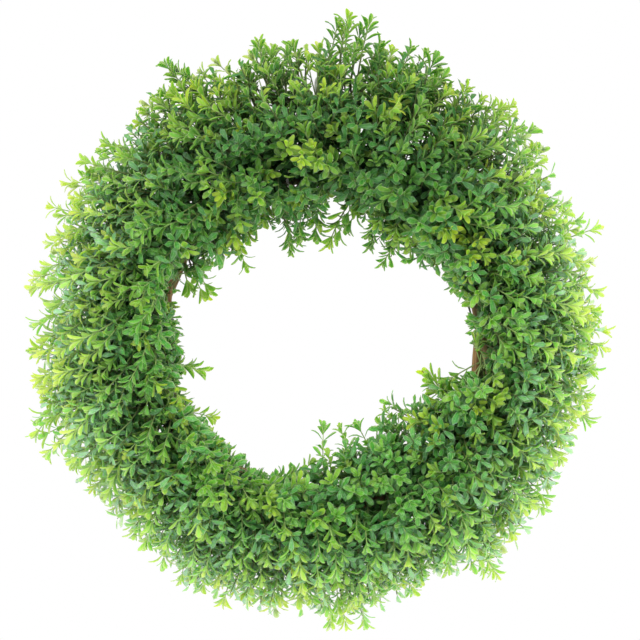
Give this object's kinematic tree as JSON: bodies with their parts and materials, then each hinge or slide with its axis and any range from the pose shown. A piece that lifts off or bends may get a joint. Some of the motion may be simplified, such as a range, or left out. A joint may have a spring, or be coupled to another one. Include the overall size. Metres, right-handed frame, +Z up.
{
  "type": "boxwood wreath",
  "caption": "Round boxwood wreath: leafy sprays pushed into a ring of twisted vines, with a wire loop behind the top to hang it by.",
  "frame": {"origin": "the point under the crown of the hanging loop, where a hook bears up, 260 mm above the wreath's centre and 17.5 mm behind the middle of its vine ring", "axes": "+Z up, +Y back towards the wall that the wreath hangs on, so its face looks along -Y, and +X to the right of someone who looks at its face"},
  "size_m": [0.5992, 0.1238, 0.6268],
  "materials": {
    "boxwood_leaf": "satin green leaves with yellow-green tips",
    "vine_bark": "rough brown bark",
    "tie_wire": "dark green lacquer",
    "hanger_coating": "pale cream covering on wire"
  },
  "bodies": {
    "root": {"vine_1": "vine_bark", "vine_2": "vine_bark", "vine_3": "vine_bark", "vine_4": "vine_bark", "vine_5": "vine_bark", "tie_1": "tie_wire", "tie_2": "tie_wire", "tie_3": "tie_wire", "hanging_loop": "hanger_coating", "outer_spray_01": "boxwood_leaf", "outer_spray_02": "boxwood_leaf", "outer_spray_03": "boxwood_leaf", "outer_spray_04": "boxwood_leaf", "outer_spray_05": "boxwood_leaf", "outer_spray_06": "boxwood_leaf", "outer_spray_07": "boxwood_leaf", "outer_spray_08": "boxwood_leaf", "outer_spray_09": "boxwood_leaf", "outer_spray_10": "boxwood_leaf", "outer_spray_11": "boxwood_leaf", "outer_spray_12": "boxwood_leaf", "outer_spray_13": "boxwood_leaf", "outer_spray_14": "boxwood_leaf", "outer_spray_15": "boxwood_leaf", "outer_spray_16": "boxwood_leaf", "outer_spray_17": "boxwood_leaf", "outer_spray_18": "boxwood_leaf", "outer_spray_19": "boxwood_leaf", "outer_spray_20": "boxwood_leaf", "inner_spray_01": "boxwood_leaf", "inner_spray_02": "boxwood_leaf", "inner_spray_03": "boxwood_leaf", "inner_spray_04": "boxwood_leaf", "inner_spray_05": "boxwood_leaf", "inner_spray_06": "boxwood_leaf", "inner_spray_07": "boxwood_leaf", "inner_spray_08": "boxwood_leaf", "inner_spray_09": "boxwood_leaf", "inner_spray_10": "boxwood_leaf", "inner_spray_11": "boxwood_leaf", "inner_spray_12": "boxwood_leaf", "inner_spray_13": "boxwood_leaf", "inner_spray_14": "boxwood_leaf", "inner_spray_15": "boxwood_leaf", "inner_spray_16": "boxwood_leaf", "inner_spray_17": "boxwood_leaf", "inner_spray_18": "boxwood_leaf", "inner_spray_19": "boxwood_leaf", "inner_spray_20": "boxwood_leaf"}
  },
  "joints": []
}
